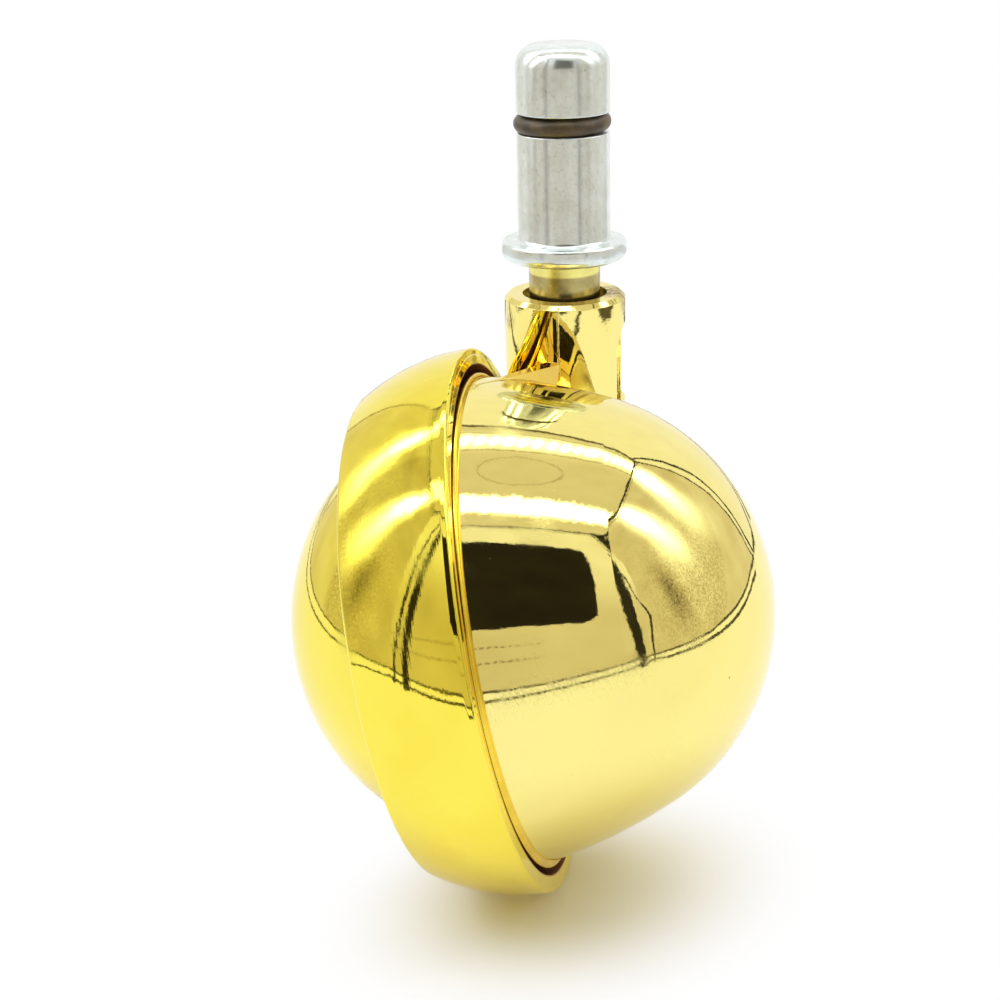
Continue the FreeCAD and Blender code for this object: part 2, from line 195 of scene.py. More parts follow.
# %% A material being written
class Finish:
    """A material being written: node() adds any node and returns the wire of one output."""

    def __init__(self, name):
        self.material = bpy.data.materials.new(name)
        self.material.use_nodes = True
        self.tree = self.material.node_tree
        self.tree.nodes.clear()
        self.place = Wire(self, self.add("TexCoord", {}, {}).outputs["Object"])

    def add(self, kind, settings, values):
        """The node itself, its settings made first and its sockets filled after."""
        made = self.tree.nodes.new("ShaderNode" + kind)
        for name, value in settings.items():
            setattr(made, name, value)
        for name, value in values.items():
            if isinstance(value, Wire):
                self.tree.links.new(value.socket, made.inputs[name])
            else:
                made.inputs[name].default_value = value
        return made

    def node(self, kind, settings, values, output=0):
        """The wire of one output of a new node."""
        return Wire(self, self.add(kind, settings, values).outputs[output])

    def parts(self, vector):
        """The x, y and z wires of a vector."""
        split = self.add("SeparateXYZ", {}, {0: vector})
        return [Wire(self, out) for out in split.outputs]

    def moved(self, centre=(0.0, 0.0, 0.0), turn=(0.0, 0.0, 0.0), unit=(1.0, 1.0, 1.0)):
        """Object coordinates from a centre, along turned axes, each counted in its own unit."""
        values = {"Vector": self.place, "Location": centre, "Rotation": turn, "Scale": unit}
        return self.node("Mapping", {"vector_type": "TEXTURE"}, values)

    def drawn_out(self, vector, scales):
        """A vector with each axis multiplied by its own scale."""
        return self.node("VectorMath", {"operation": "MULTIPLY"}, {0: vector, 1: scales})

    def far_from(self, at):
        """Distance in metres from a place in mm."""
        ends = {0: self.place, 1: tuple(np.array(at) * MM)}
        return self.node("VectorMath", {"operation": "DISTANCE"}, ends, output=1)

    def noise(self, scale, detail=2.0, roughness=0.5, place=None):
        """Noise between 0 and 1 whose lumps are about 1 / scale metres wide."""
        values = {"Vector": place or self.place, "Scale": scale,
                  "Detail": detail, "Roughness": roughness}
        return self.node("TexNoise", {}, values)

    def mix(self, share, first, second):
        """A colour between first and second."""
        settings = {"data_type": "RGBA"}
        return self.node("Mix", settings, {0: share, 6: first, 7: second}, output=2)

    def bump(self, height, distance=MICRON, edges=None):
        """The normal of a surface raised by height * distance, over edges eased by Bevel."""
        values = {"Height": height, "Distance": distance}
        if edges is not None:
            values["Normal"] = self.node("Bevel", {"samples": 6}, {"Radius": edges * MM})
        return self.node("Bump", {}, values)

    def close(self, shader):
        """The finished material, with this shader on its surface."""
        self.add("OutputMaterial", {}, {"Surface": shader})
        return self.material

    def surface(self, values):
        """The finished material, with one Principled shader of these values."""
        return self.close(self.node("BsdfPrincipled", {}, values))

    def glow(self, level):
        """Cloth as bright as the wire level says, white where bright and warmer where dim."""
        tint = self.mix(level.step(0.45, 1.1), (1.0, 0.86, 0.66, 1.0), (1.0, 1.0, 0.99, 1.0))
        light = self.node("VectorMath", {"operation": "SCALE"}, {0: tint, "Scale": level})
        return self.close(self.node("Emission", {}, {"Color": light}))


print("materials can be written as formulas")

# %% [markdown]
# ## Turned and carried surfaces
# The stem is turned from one bar, so its surface is one outline swung around the axis. It could
# be a stack of cylinders with a bevel, but then every edge would get the same rounding. Here the
# corners are rounded in the outline itself, each by its own arc, so that flats stay flat and
# edges catch the light.

# %% Outlines
ARC_POINTS = 9


def rounded(corners):
    """Outline through corners (radius, height, size) in mm, each cut by an arc of that size.

    For a corner of half angle a, an arc of size q starts q / tan(a) before the corner, and its
    centre lies q / sin(a) from the corner on the line that halves it. The ends stay sharp.
    """
    corners = np.asarray(corners, float)
    spots, sizes = corners[:, :2], corners[1:-1, 2]
    points = [spots[:1]]
    for before, corner, after, size in zip(spots[:-2], spots[1:-1], spots[2:], sizes):
        to_before = (before - corner) / np.linalg.norm(before - corner)
        to_after = (after - corner) / np.linalg.norm(after - corner)
        half = 0.5 * math.acos(float(np.clip(to_before @ to_after, -1.0, 1.0)))
        middle = (to_before + to_after) / np.linalg.norm(to_before + to_after)
        centre = corner + middle * size / math.sin(half)
        start = corner + to_before * size / math.tan(half)
        end = corner + to_after * size / math.tan(half)
        first = math.atan2(*(start - centre)[::-1])
        swing = math.atan2(*(end - centre)[::-1]) - first
        swing = (swing + math.pi) % (2 * math.pi) - math.pi
        angles = first + swing * np.linspace(0.0, 1.0, ARC_POINTS)
        points.append(centre + size * np.stack([np.cos(angles), np.sin(angles)], axis=1))
    points.append(spots[-1:])
    return np.concatenate(points)


def round_section(radius, height, size, steps):
    """Closed circle (radius + size cos t, height + size sin t) for steps angles t."""
    angles = np.linspace(0.0, 2.0 * math.pi, steps, endpoint=False)
    return np.stack([radius + size * np.cos(angles), height + size * np.sin(angles)], axis=1)


print("each corner is cut by an arc of", ARC_POINTS, "points")


# %% Surfaces
TURN_STEPS = 256
SAME_POINT, NO_LENGTH = 1e-7, 1e-8


def tube_faces(rings, steps, closed):
    """Four-sided faces between neighbouring rings of points; closed joins the last to the first."""
    ring, step = np.meshgrid(np.arange(rings if closed else rings - 1), np.arange(steps),
                             indexing="ij")
    here, beyond, after = ring * steps, (ring + 1) % rings * steps, (step + 1) % steps
    corners = [here + step, here + after, beyond + after, beyond + step]
    return np.stack(corners, axis=-1).reshape(-1, 4)


def shell(name, points, faces, material, body):
    """A mesh in metres that rides on one body, its doubled points joined, its faces outward."""
    mesh = bpy.data.meshes.new(name)
    mesh.from_pydata(points.tolist(), [], faces.tolist())
    work = bmesh.new()
    work.from_mesh(mesh)
    bmesh.ops.remove_doubles(work, verts=work.verts, dist=SAME_POINT)
    bmesh.ops.dissolve_degenerate(work, edges=work.edges, dist=NO_LENGTH)
    bmesh.ops.recalc_face_normals(work, faces=work.faces)
    work.to_mesh(mesh)
    work.free()
    mesh.polygons.foreach_set("use_smooth", np.full(len(mesh.polygons), True))
    mesh.materials.append(material)
    made = bpy.data.objects.new(name, mesh)
    bpy.context.collection.objects.link(made)
    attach(made, body)
    print(name, len(mesh.vertices), "points")
    return made


def turned(name, outline, material, body, closed=False):
    """Surface x = r cos t, y = r sin t, z = h for each outline point (r, h) and each angle t."""
    radii, heights = outline[:, 0] * MM, outline[:, 1] * MM
    angles = np.linspace(0.0, 2.0 * math.pi, TURN_STEPS, endpoint=False)
    ring = np.stack([np.cos(angles), np.sin(angles)], axis=1)
    grid = np.empty((len(radii), TURN_STEPS, 3))
    grid[:, :, :2] = radii[:, None, None] * ring[None]
    grid[:, :, 2] = heights[:, None]
    faces = tube_faces(len(radii), TURN_STEPS, closed)
    return shell(name, grid.reshape(-1, 3), faces, material, body)


def around_axle(name, outline, material, body, swell):
    """Closed outline (r, a) carried around the axle: mouth + a * axle + r * ray(t).

    Points on the outer side of the outline move out by swell * sin(t)^2, most at the front.
    """
    upward = np.array([-math.sin(AXLE_LEAN), 0.0, math.cos(AXLE_LEAN)])
    forward = np.array([0.0, -1.0, 0.0])
    angles = np.linspace(0.0, 2.0 * math.pi, 2 * TURN_STEPS, endpoint=False)
    rays = np.cos(angles)[:, None] * upward + np.sin(angles)[:, None] * forward
    from_middle = (outline[:, :1] - outline[:, 0].mean()) / np.ptp(outline[:, 0])
    outer = np.clip(from_middle + 0.5, 0.0, 1.0)
    radius = outline[:, :1] + swell * outer * np.sin(angles).clip(0.0) ** 2
    grid = MOUTH_CENTRE + outline[:, None, 1:] * AXLE_DIR + radius[:, :, None] * rays[None]
    faces = tube_faces(len(outline), len(angles), closed=True)
    return shell(name, grid.reshape(-1, 3) * MM, faces, material, body)


print("surfaces are turned in", TURN_STEPS, "steps")

# %% [markdown]
# ## Marks on metal
# A mirror finish has almost no roughness of its own, but buffing leaves long shallow waves, and
# those make the edges of each reflection wander. Fine hairlines and pits from handling could be
# painted on as an image. Made from noise instead, they stay sharp at any distance and cover any
# shape without seams.


# %% Marks on metal
def shade(red, green, blue):
    """An sRGB colour of 0 to 255 as the linear colour that a shader works in."""
    levels = np.array([red, green, blue]) / 255.0
    linear = np.where(levels <= 0.04045, levels / 12.92, ((levels + 0.055) / 1.055) ** 2.4)
    return (*linear.tolist(), 1.0)


def near(finish, at, size):
    """1 at a place in mm, falling softly to 0 at a distance of size in mm."""
    return 1.0 - finish.far_from(at).step(0.35 * size * MM, size * MM)


def pits(finish, spacing, size):
    """1 inside small round pits near some points of a loose grid, and 0 between them.

    The grid's spacing is in metres, and a pit's size is a share of it.
    """
    grid = {"Vector": finish.place, "Scale": 1.0 / spacing, "Randomness": 1.0}
    cell = finish.node("TexVoronoi", {}, grid)
    chosen = finish.noise(0.37 / spacing, 1.0).step(0.5, 0.62)
    return (1.0 - cell.step(size * 0.6, size)) * chosen


def hairlines(finish, turn, along, across, width, few=0.56):
    """Scratches: noise drawn out along one direction, kept where |noise - 0.5| is below width.

    along and across are the size of its lumps in metres. The higher few is, the rarer they are.
    """
    place = finish.moved(turn=turn, unit=(along, across, across))
    lines = (finish.noise(1.0, 1.0, place=place) - 0.5).size()
    return (1.0 - lines.step(width * 0.4, width)) * finish.noise(95.0).step(few, few + 0.12)


def buffed(finish, coarse, fine):
    """Buffed height in microns: waves of 3 mm, and the grain of 0.3 mm that frays reflections."""
    waves = finish.noise(290.0) * coarse
    ripples = finish.noise(1150.0) * (fine * 1.6)
    uneven = fine * (0.6 + finish.noise(120.0, 1.0))
    return waves + ripples + finish.noise(3600.0, 2.0, 0.6) * uneven


SCUFF_DEPTH, PIT_DEPTH = 0.8, 6.0
print("a mid grey of 128 is", round(shade(128, 128, 128)[0], 3), "to a shader")

# %% [markdown]
# ## Gold of the housing
# The housing is cast metal, polished and gold plated, and its plate is paler than the wheel's.
# The mould leaves a parting line down the neck. The neck's top is stained, and the tip of the web
# is nicked. The corner between neck and web, where the gold mirrors itself, has an amber painted
# reflection in its colour. One even gold would be quicker, but the stain, the nicks and the other
# marks are what makes it a used casting.

# %% Gold of the housing
HOUSING_PLATE, HOUSING_DEEP = (1.0, 0.88, 0.3, 1.0), (0.97, 0.84, 0.265, 1.0)
PAINTED_REFLECTION_AMBER = (0.96, 0.68, 0.12, 1.0)
NECK_R = 7.0
# Marks on the housing, and the corner of painted reflection: the place of each and how far it
# reaches
PAINTED_REFLECTION_CORNER = (-2.5, -11.5, -13.2), 8.5
NECK_STAIN = (5.6, 0.6, -6.4), 3.8
RUBBED_NECK = (-6.1, -3.3, -8.6), 1.9
WEB_TIP = (-8.3, -21.4, -11.7), 1.7


def parting_line(finish):
    """1 on a wandering line down the front of the neck, where x is near -0.1 mm, else 0."""
    x, y, _ = finish.parts(finish.place)
    from_wall = ((x * x + y * y) ** 0.5 - NECK_R * MM).size()
    on_wall = 1.0 - from_wall.step(0.1 * MM, 0.3 * MM)
    in_front = 1.0 - (y + 5.0 * MM).step(0.0, 0.5 * MM)
    wander = (finish.noise(700.0) - 0.5) * (0.25 * MM)
    from_line = (x + wander + 0.1 * MM).size()
    return on_wall * in_front * (1.0 - from_line.step(0.03 * MM, 0.13 * MM))


def housing_gold():
    """Pale gold, then stain, rubbing, pits, dust and the painted amber reflection of the corner,
    each mixed over it by its share; heights are in microns.
    """
    finish = Finish("housing_gold")
    cloud = finish.noise(60.0, 3.0)
    colour = finish.mix(cloud.step(0.35, 0.8), HOUSING_PLATE, HOUSING_DEEP)
    stain = near(finish, *NECK_STAIN) * finish.noise(1300.0, 3.0, 0.7).step(0.34, 0.55)
    rubbed = near(finish, *RUBBED_NECK) * hairlines(
        finish, (0.0, 1.57, 0.0), 0.0012, 0.00016, 0.14, few=0.2)
    nicks = near(finish, *WEB_TIP)
    scuffs = hairlines(finish, (0.2, 0.9, 0.1), 0.006, 0.00016, 0.05)
    ticks = hairlines(finish, (0.0, 1.35, 0.0), 0.0009, 0.00011, 0.03, few=0.54)
    small = pits(finish, 0.0042, 0.035)
    dust = pits(finish, 0.0017, 0.045)
    # The first of these is painted reflection: amber where the gold between neck and web mirrors
    # itself.
    marks_and_painted_reflection = ((near(finish, *PAINTED_REFLECTION_CORNER) * 0.9, PAINTED_REFLECTION_AMBER), (stain * 0.8, shade(120, 84, 34)),
             (rubbed * 0.6, shade(150, 112, 50)), (small * 0.75, shade(120, 92, 40)),
             (dust, shade(246, 240, 214)))
    for share, overlay_colour in marks_and_painted_reflection:
        colour = finish.mix(share, colour, overlay_colour)
    height = buffed(finish, 13.0, 1.1) - scuffs * SCUFF_DEPTH - small * PIT_DEPTH
    height = height + parting_line(finish) * 60.0 + stain * finish.noise(1900.0) * 60.0
    height = height + nicks * finish.noise(2600.0, 3.0, 0.7) * 160.0
    rough = 0.02 + finish.noise(500.0, 3.0) * 0.02 + scuffs * 0.1 + ticks * 0.25 + stain * 0.3
    return finish.surface({"Base Color": colour, "Metallic": 1.0 - dust * 0.8, "Roughness": rough,
                           "Normal": finish.bump(height, edges=0.1)})


housing_finish = housing_gold()
print("housing_gold has", len(housing_finish.node_tree.nodes), "nodes")

# %% [markdown]
# ## Gold of the wheel
# The cap and the rolling band are plated deeper than the housing. The band was turned on a lathe,
# so fine rings run around the axle and stretch each reflection across it. The lip's outer edge is
# eased by hand: the surface tips over in the last 0.7 mm. That is too slight to need geometry, so
# the bump bends it. Inside the bowl the casting is raw and brown.

# %% Gold of the wheel
CAP_PLATE, CAP_DEEP = (0.99, 0.85, 0.12, 1.0), (0.96, 0.79, 0.09, 1.0)
TREAD_PLATE, TREAD_DEEP = (1.0, 0.86, 0.11, 1.0), (0.96, 0.78, 0.07, 1.0)
CAP_CENTRE, CAP_INSIDE_R = MOUTH_CENTRE - 0.3 * AXLE_DIR, 24.9
TREAD_INSIDE_R = 29.0
RING_SCALES = (3400.0, 190.0, 190.0)
LIP_R, LIP_WIDTH, LIP_SOFT = 29.6, 0.72, 0.004
MICRONS_PER_MM = 1000.0


def eased_lip(place, slope):
    """Height in microns that falls by slope past LIP_WIDTH before the mouth, 0 elsewhere.

    With p the distance past that line, it is -slope * (sqrt(p^2 + soft) + p) / 2.
    """
    from_mouth, side, rise = place.finish.parts(place)
    outer = ((side * side + rise * rise) ** 0.5).step(LIP_R * MM, (LIP_R + 0.1) * MM)
    past = from_mouth / MM + LIP_WIDTH
    return ((past * past + LIP_SOFT) ** 0.5 + past) * outer * (-0.5 * slope * MICRONS_PER_MM)


def wheel_gold(name, plain, deep, rings, centre, inside_r, lip=0.0):
    """Gold with rings around the axle, raw brown metal nearer to the centre than inside_r."""
    finish = Finish(name)
    place = finish.moved(tuple(MOUTH_CENTRE * MM), (0.0, -AXLE_LEAN, 0.0))
    lathe = finish.noise(1.0, 3.0, place=finish.drawn_out(place, RING_SCALES))
    cloud = finish.noise(70.0, 3.0)
    patchy = finish.noise(110.0).step(0.45, 0.7)
    scuffs = hairlines(finish, (0.5, 0.3, 0.9), 0.006, 0.00016, 0.06)
    ticks = hairlines(finish, (0.1, 0.2, 1.2), 0.001, 0.00012, 0.035, few=0.54)
    small = pits(finish, 0.005, 0.035)
    inside = 1.0 - finish.far_from(centre).step((inside_r - 0.2) * MM, inside_r * MM)
    raw = finish.mix(finish.noise(500.0, 3.0), shade(134, 84, 62), shade(164, 108, 82))
    colour = finish.mix(cloud.step(0.35, 0.8), plain, deep)
    colour = finish.mix(small * 0.75, colour, shade(120, 86, 30))
    colour = finish.mix(inside, colour, raw)
    height = buffed(finish, 13.0, 1.4) - scuffs * SCUFF_DEPTH - small * PIT_DEPTH
    height = height + lathe * rings * (0.3 + patchy) + eased_lip(place, lip)
    rough = 0.025 + finish.noise(500.0, 3.0) * 0.02 + patchy * 0.02
    rough = rough + ticks * 0.3 + scuffs * 0.12 + inside * 0.4
    return finish.surface({"Base Color": colour, "Metallic": 1.0 - inside * 0.75,
                           "Roughness": rough, "Normal": finish.bump(height, edges=0.08)})


cap_finish = wheel_gold("wheel_gold", CAP_PLATE, CAP_DEEP, 0.8, CAP_CENTRE, CAP_INSIDE_R)
tread_finish = wheel_gold(
    "tread_gold", TREAD_PLATE, TREAD_DEEP, 6.5, BALL_CENTRE, TREAD_INSIDE_R, lip=0.3)
print("tread_gold has", len(tread_finish.node_tree.nodes), "nodes")

# %% [markdown]
# ## Steel of the stem
# The stem is zinc plated: satin, finely speckled and softly blotched, with upright streaks from
# drawing and a few pits. The pintle below the collar has picked up a yellow passivation. Just under
# the collar a brighter yellow strip is painted reflection of the gold neck. One plain grey metal
# would look like chrome, so colour, roughness and height all vary a little.

# %% Steel of the stem
ZINC_LIGHT, ZINC_DARK, ZINC_SPECK = (
    (0.87, 0.95, 0.98, 1.0), (0.77, 0.84, 0.81, 1.0), (0.5, 0.51, 0.48, 1.0))
# The third yellow, and the second of the two heights below, draw a painted reflection of the gold
# neck just under the collar.
GILT_LIGHT, GILT_DARK, PAINTED_REFLECTION_YELLOW = (
    (0.6, 0.51, 0.22, 1.0), (0.44, 0.37, 0.15, 1.0), (1.0, 0.93, 0.3, 1.0))
GILT_TOP, PAINTED_REFLECTION_HEIGHT = -2.0, -3.2
STREAK_SCALES = (1100.0, 1100.0, 90.0)


def stem_steel():
    """Zinc above GILT_TOP, yellow below it, and a painted reflection of the gold neck under the
    collar.
    """
    finish = Finish("stem_steel")
    z = finish.parts(finish.place)[2]
    blotch = finish.noise(330.0, 4.0, 0.6)
    speck = finish.noise(3300.0, 3.0, 0.7)
    streaks = finish.noise(1.0, place=finish.drawn_out(finish.place, STREAK_SCALES))
    small = pits(finish, 0.0021, 0.06)
    plate = finish.mix(blotch.step(0.3, 0.7), ZINC_LIGHT, ZINC_DARK)
    plate = finish.mix(speck.step(0.54, 0.7) * 0.5, plate, ZINC_SPECK)
    gilt = 1.0 - (z - GILT_TOP * MM).step(-0.4 * MM, 0.0)
    # Painted reflection: the strip just under the collar is brightest, where the pintle mirrors the
    # gold neck.
    bright = 1.0 - (z - PAINTED_REFLECTION_HEIGHT * MM).size().step(0.4 * MM, 0.7 * MM)
    gold = finish.mix(blotch.step(0.35, 0.65), GILT_LIGHT, GILT_DARK)
    gold = finish.mix(bright, gold, PAINTED_REFLECTION_YELLOW)
    colour = finish.mix(small, finish.mix(gilt, plate, gold), shade(116, 112, 96))
    height = streaks * 9.0 + speck * 7.0 - small * 16.0
    return finish.surface({"Base Color": colour, "Metallic": 0.84 + gilt * 0.16,
                           "Roughness": 0.15 + blotch * 0.1 + gilt * 0.05,
                           "Normal": finish.bump(height)})


steel_finish = stem_steel()
print("stem_steel has", len(steel_finish.node_tree.nodes), "nodes")

# %% [markdown]
# ## Rubber, plastic and spring steel
# The grip ring is dark brown rubber with a dull shine. The bushes are plain plastic and the snap
# rings oiled steel. Little of them shows, so each is two close colours mixed by noise.


# %% Rubber, plastic and spring steel
def grip_rubber():
    """Brown mixed by noise, with a fine bump of 8 microns."""
    finish = Finish("grip_rubber")
    blotch = finish.noise(420.0, 3.0).step(0.35, 0.7)
    return finish.surface({"Base Color": finish.mix(blotch, shade(92, 77, 52), shade(52, 42, 28)),
                           "Roughness": 0.28 + finish.noise(700.0, 3.0) * 0.2,
                           "Normal": finish.bump(finish.noise(2200.0, 3.0), 8.0 * MICRON)})


def bush_plastic():
    """Off-white mixed by noise."""
    finish = Finish("bush_plastic")
    colour = finish.mix(finish.noise(200.0, 3.0), shade(232, 229, 218), shade(222, 218, 205))
    return finish.surface({"Base Color": colour,
                           "Roughness": 0.45 + finish.noise(300.0, 3.0) * 0.1})


def spring_steel():
    """Grey metal mixed by noise."""
    finish = Finish("spring_steel")
    colour = finish.mix(finish.noise(300.0, 3.0), shade(150, 150, 148), shade(120, 119, 116))
    return finish.surface({"Base Color": colour, "Metallic": 1.0,
                           "Roughness": 0.3 + finish.noise(500.0, 3.0) * 0.1})


rubber_finish, plastic_finish, spring_finish = grip_rubber(), bush_plastic(), spring_steel()
print("rubber, plastic and spring steel ready")

# %% [markdown]
# The pieces of the construction model keep their shape and only get their finish here.

# %% Finishes on the construction model
finishes = {
    "housing": housing_finish, "wheel_core": cap_finish, "tread_ring": tread_finish,
    "stem": steel_finish, "axle": steel_finish, "grip_ring": rubber_finish,
    "thrust_ball": spring_finish, "thrust_washer": spring_finish,
    "stem_snap_ring": spring_finish, "axle_snap_ring": spring_finish,
    "neck_bush": plastic_finish, "wheel_bush": plastic_finish,
}
for name, finish in finishes.items():
    mesh = nodes[name].data
    mesh.materials.clear()
    mesh.materials.append(finish)
print("finished:", ", ".join(finishes))

# %% [markdown]
# ## Stem
# The stem has a softly cornered head, the groove for the rubber ring, a shank that is a little
# slimmer than the head, and a thick collar whose lower edge is well rounded. The pintle below it
# turns in the housing's neck. It is turned anew here, with finer arcs than the construction
# model has, and stands for that model's stem.

# %% Stem
HEAD_R, SHANK_R, COLLAR_R, PINTLE_R = 5.3, 5.28, 7.15, 4.1
GROOVE_R, SNAP_GROOVE_R = 3.5, 3.4
stem_corners = [
    # radius, height, size of the arc
    (0.0, 22.0, 0.0),
    (HEAD_R, 22.0, 2.3),
    (HEAD_R, 14.4, 0.18),
    (GROOVE_R, 14.4, 0.2),
    (GROOVE_R, 12.25, 0.2),
    (SHANK_R, 12.25, 0.12),
    (SHANK_R, 0.0, 0.5),
    (COLLAR_R, 0.0, 0.35),
    (COLLAR_R, -2.2, 1.0),
    (PINTLE_R, -2.2, 0.6),
    (PINTLE_R, -16.35, 0.05),
    (SNAP_GROOVE_R, -16.35, 0.05),
    (SNAP_GROOVE_R, -17.65, 0.05),
    (PINTLE_R, -17.65, 0.05),
    (PINTLE_R, -20.0, 0.4),
    (0.0, -20.0, 0.0),
]
stem_piece = turned("stem_piece", rounded(stem_corners), steel_finish, "stem_base")
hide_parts("stem")

# %% [markdown]
# ## Rubber ring
# The ring is a plain torus that lies in the groove, stands 0.2 mm proud of the head and grips the
# furniture's socket. A real one never lies quite true, so it is tipped and pushed a little aside.

# %% Rubber ring
RING_MIDDLE_R, RING_Z, RING_SIZE = 4.55, 13.32, 0.98
TIP_X, TIP_Y, PUSH_X = 0.012, 0.02, -0.1
ring_outline = round_section(RING_MIDDLE_R, RING_Z, RING_SIZE, 48)
ring_piece = turned("ring_piece", ring_outline, rubber_finish, "stem_base", closed=True)
points = np.empty(len(ring_piece.data.vertices) * 3)
ring_piece.data.vertices.foreach_get("co", points)
points = points.reshape(-1, 3)
points[:, 2] += TIP_X * points[:, 0] + TIP_Y * points[:, 1]
points[:, 0] += PUSH_X * MM
ring_piece.data.vertices.foreach_set("co", points.ravel())
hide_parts("grip_ring")

# %% [markdown]
# ## Rolled rim of the housing
# The housing's edge is rolled into a thin bead that nearly fills the gap to the wheel's lip, and
# is thickest at the front. Its gold is duller and more amber than the dome's. A bevel on the
# housing could only round the edge, so the bead is a small round section of its own, carried
# around the leaning axle.

# %% Rolled rim of the housing
BEAD_SIZE, BEAD_RING_R, BEAD_ALONG, BEAD_SWELL = 0.48, 27.16, -0.06, 0.72


def rim_gold():
    """Amber gold mixed by noise, duller than the dome, with a fine bump of 2 microns."""
    finish = Finish("rim_gold")
    blotch = finish.noise(260.0, 3.0).step(0.3, 0.7)
    return finish.surface({
        "Base Color": finish.mix(blotch, (1.0, 0.74, 0.08, 1.0), (0.86, 0.6, 0.05, 1.0)),
        "Metallic": 1.0, "Roughness": 0.16 + finish.noise(900.0, 3.0) * 0.14,
        "Normal": finish.bump(finish.noise(2600.0), 2.0 * MICRON)})


bead_outline = round_section(BEAD_RING_R, BEAD_ALONG, BEAD_SIZE, 24)
rim_piece = around_axle("rim_piece", bead_outline, rim_gold(), "swivel_housing", BEAD_SWELL)

# %% [markdown]
# ## Light tent
# Shops photograph polished metal inside a small white cloth tent. Two rows of lamps run across
# its roof, its seams draw thin dark lines in the metal, and its front opening is a dark card.
# Area lamps alone would leave the gold looking flat, so the whole tent is built as glowing cards.
# The castor mirrors them, and the camera itself sees only the floor.

# %% Cards and spots
LEFT, RIGHT, FRONT, BACK, TOP = -188.0, 222.0, -190.0, 204.0, 345.0


def card(name, corners, material, seen=False):
    """A flat sheet; corners in mm, in order around it."""
    mesh = bpy.data.meshes.new(name)
    mesh.from_pydata([tuple(c) for c in np.array(corners) * MM], [], [tuple(range(len(corners)))])
    mesh.materials.append(material)
    made = bpy.data.objects.new(name, mesh)
    bpy.context.collection.objects.link(made)
    made.visible_camera = seen
    made.visible_shadow = False
    return made


def upright(name, first, second, foot, head, material):
    """A standing sheet between two heights, from one corner (x, y) to another."""
    return card(name, [(*first, foot), (*second, foot), (*second, head), (*first, head)], material)


def blob(across, up, at, size, turn=0.0):
    """exp(-u^2 - v^2), a soft spot on a wall, where u and v are places along its turned axes."""
    first, second = across - at[0] * MM, up - at[1] * MM
    cos, sin = math.cos(turn), math.sin(turn)
    along = first * (cos / (size[0] * MM)) + second * (sin / (size[0] * MM))
    beside = second * (cos / (size[1] * MM)) - first * (sin / (size[1] * MM))
    return (-(along * along + beside * beside)).exp()


def stripe(across, at, width, soft=1.0):
    """1 on a strip of a width about a place, in mm, and 0 outside it."""
    from_middle = (across - at * MM).size()
    return 1.0 - from_middle.step((width / 2 - soft) * MM, (width / 2 + soft) * MM)


print("tent is", RIGHT - LEFT, "mm wide and", BACK - FRONT, "mm deep")

# %% [markdown]
# ## Side walls
# Each side wall is grainy cloth in front and plainer cloth behind a slanted edge, and the lamps
# glare on it in long soft spots. A lit wall could be rendered from real lamps, but spots given one
# by one land just where the photograph mirrors them.

# %% Side walls
FLOOR_LIGHT_LOW, FLOOR_LIGHT_HIGH = 14.0, 17.0
UNEVEN = 0.3
GRAIN_AT, GRAIN_SIZE = (-40, 60), (110, 150)
# Each spot: its place (y, z) and size in mm, its turn and its power
RIGHT_SPOTS = [
    ((-52, 245), (24, 105), 0.17, 6.0), ((-36, 115), (28, 45), 0.1, 0.9),
    ((112, 262), (26, 95), -0.345, 6.0), ((76, 138), (30, 50), -0.345, 0.8),
    ((88, 90), (42, 50), 0.0, 0.3), ((-97, 40), (20, 66), 0.22, -0.38),
    ((-64, 60), (12, 60), 0.2, 0.12)]
LEFT_SPOTS = [
    ((-100, 215), (14, 95), 0.25, 14.0), ((-68, 80), (22, 40), 0.3, 1.6),
    ((-45, 42), (20, 26), 0.3, 0.5), ((64, 225), (14, 95), -0.26, 14.0),
    ((32, 92), (22, 40), -0.1, 1.6), ((-90, 18), (18, 55), 0.4, -0.3),
    ((20, 240), (40, 40), 0.0, -0.15)]


def foot_lit(level, z):
    """The foot of a wall takes the floor's light, and is at least as bright as the floor."""
    foot = 1.0 - (z - FLOOR_Z * MM).step(FLOOR_LIGHT_LOW * MM, FLOOR_LIGHT_HIGH * MM)
    return level + foot * (1.0 - level).at_least(0.0)


def side_cloth(name, base, behind, edge, spots):
    """Level base + uneven noise, behind past the slanted edge, + grain in front + the spots."""
    cloth = Finish(name)
    _, y, z = cloth.parts(cloth.place)
    wander = (cloth.noise(16.0, 3.0) - 0.5) * (60.0 * MM)
    start, slope, soft = edge
    past_edge = y - z * slope - start * MM + wander * (0.02 * soft)
    rear = past_edge.step(-soft * MM, soft * MM)
    grain = (cloth.noise(330.0, 3.0, 0.85) - 0.5) * (1.0 - rear)
    grain = grain * blob(y, z, GRAIN_AT, GRAIN_SIZE)
    level = cloth.noise(18.0, 3.0) * UNEVEN + (base - UNEVEN / 2)
    level = level + rear * (behind - base) + grain * 2.6
    for at, size, turn, power in spots:
        level = level + blob(y + wander * 0.25, z, at, size, turn) * power
    return cloth.glow(foot_lit(level.at_least(0.05), z))


right_cloth = side_cloth("tent_right", 0.68, 0.74, (49.0, 0.81, 1.0), RIGHT_SPOTS)
left_cloth = side_cloth("tent_left", 0.64, 0.8, (9.0, 0.0, 8.0), LEFT_SPOTS)
print("side walls glow with", len(RIGHT_SPOTS), "and", len(LEFT_SPOTS), "spots")

# %% [markdown]
# ## Front wall and roof
# The front wall is brightest around the opening and has two stitched lines below it. The roof
# carries one row of separate lamps and one row that the cloth blurs, both drawn by formulas of the
# distance from the row, because real lamps of this size would make the render grainy.

